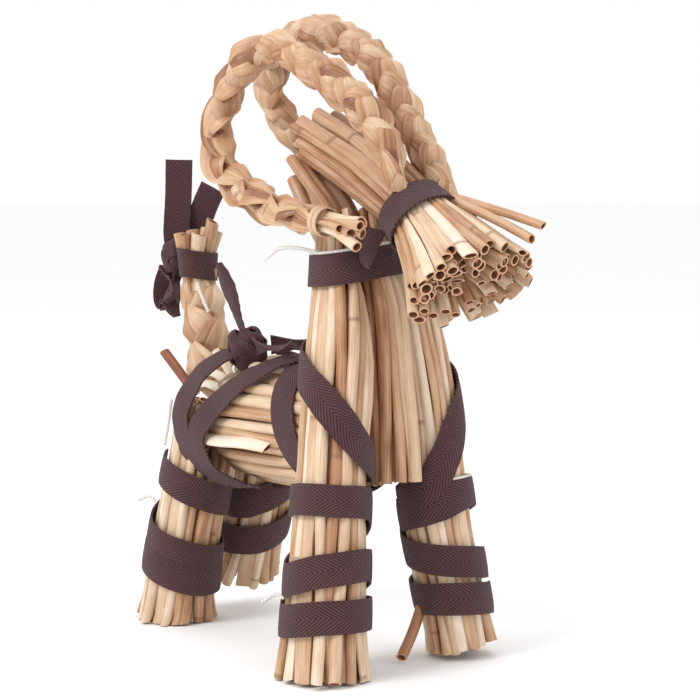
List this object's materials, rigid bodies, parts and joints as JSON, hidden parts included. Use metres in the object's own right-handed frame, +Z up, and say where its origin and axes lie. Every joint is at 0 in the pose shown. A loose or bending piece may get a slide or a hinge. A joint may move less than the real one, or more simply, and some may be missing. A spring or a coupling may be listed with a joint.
{
  "type": "straw yule goat ornament",
  "caption": "Standing goat figure of bound straw bundles with plaited horns and tail, wrapped in dark cotton tape.",
  "frame": {"origin": "centre of the bottom of the bounding box, on the ground between the four feet", "axes": "+X to the muzzle, +Y to the goat's left side, +Z up"},
  "size_m": [0.2186, 0.0988, 0.256],
  "materials": {
    "straw": "waxy dry straw",
    "tape": "matte herringbone cotton",
    "string": "matte twisted string"
  },
  "bodies": {
    "root": {"front_right_leg_bundle": "straw", "front_left_leg_bundle": "straw", "chest_bundle": "straw", "rear_right_leg_bundle": "straw", "rear_left_leg_bundle": "straw", "body_bundle": "straw", "head_bundle": "straw", "head_ribbon": "tape", "right_horn_plait": "straw", "left_horn_plait": "straw", "right_horn_tip_straws": "straw", "left_horn_tip_straws": "straw", "tail_plait": "straw", "tail_tip_straws": "straw", "rump_stray_straw": "straw", "foot_stray_straw": "straw", "muzzle_stray_straw": "straw", "front_right_leg_ribbon": "tape", "front_left_leg_ribbon": "tape", "rear_right_leg_ribbon": "tape", "rear_left_leg_ribbon": "tape", "right_chest_strap": "tape", "left_chest_strap": "tape", "neck_ribbon": "tape", "girth_ribbon": "tape", "right_rump_strap": "tape", "left_rump_strap": "tape", "right_cross_strap": "tape", "back_knot": "tape", "back_knot_free_end": "tape", "right_back_link": "tape", "left_back_link": "tape", "throat_knot": "tape", "tail_ribbon": "tape", "tail_knot": "tape", "tail_loop": "tape", "tail_long_free_end": "tape", "tail_short_free_end": "tape", "right_horn_tie": "string", "left_horn_tie": "string", "neck_string": "string", "front_right_leg_string": "string", "front_left_leg_string": "string", "rear_right_leg_string": "string", "rump_string": "string", "tail_string": "string"}
  },
  "joints": []
}
